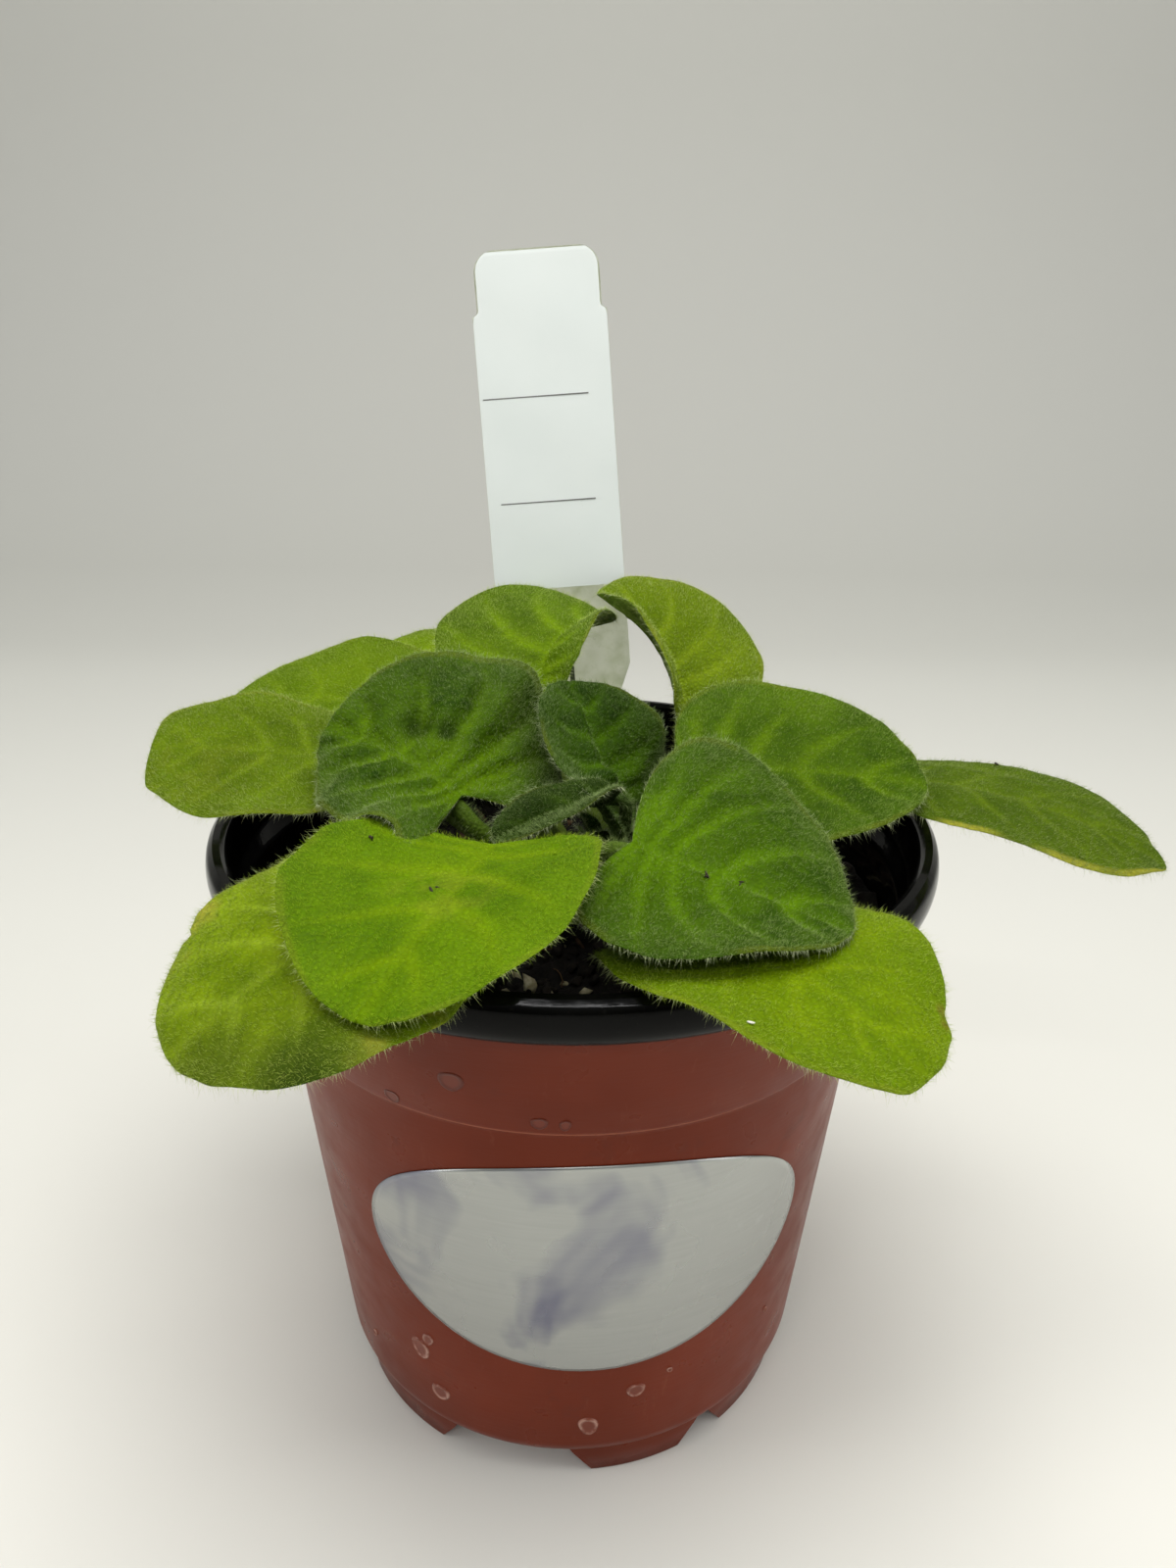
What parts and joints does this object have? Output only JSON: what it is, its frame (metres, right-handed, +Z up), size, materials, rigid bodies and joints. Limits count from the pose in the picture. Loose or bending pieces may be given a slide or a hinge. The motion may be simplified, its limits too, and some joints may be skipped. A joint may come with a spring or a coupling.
{
  "type": "potted plant",
  "caption": "Low rosette of rounded, softly hairy leaves on fleshy stalks in a small tapered nursery pot with a rolled lip, bare label and plant stake.",
  "frame": {"origin": "centre of the plan outline, on the ground under the pot's feet", "axes": "+Z up along the pot and the stake; -Y is the front, where the bare label faces"},
  "size_m": [0.1458, 0.1198, 0.1727],
  "materials": {
    "leaf_young": "velvety matte, dark green with paler veins",
    "leaf_mid": "velvety matte, mid green",
    "leaf_old": "velvety matte, yellow green",
    "crown": "hairy, brownish green",
    "pot_plastic": "thin formed sheet, satin terracotta outside, glossy black lip and inside",
    "potting_mix": "moist peat with white grains",
    "tag_plastic": "satin white plastic",
    "label_foil": "silvery foil, bare"
  },
  "bodies": {
    "root": {"leaf_front_left_upper": "leaf_old", "leaf_front_left_lower": "leaf_old", "leaf_left": "leaf_mid", "leaf_back_left": "leaf_old", "leaf_back_left_low": "leaf_old", "leaf_back": "leaf_mid", "leaf_back_right": "leaf_mid", "leaf_centre_left": "leaf_young", "leaf_young_upright": "leaf_young", "leaf_young_small": "leaf_young", "leaf_front_right_upper": "leaf_young", "leaf_front_right_lower": "leaf_old", "leaf_right": "leaf_mid", "leaf_far_right": "leaf_mid", "crown_stem": "crown", "pot": "pot_plastic", "potting_mix": "potting_mix", "plant_tag": "tag_plastic", "pot_sticker": "label_foil"}
  },
  "joints": []
}
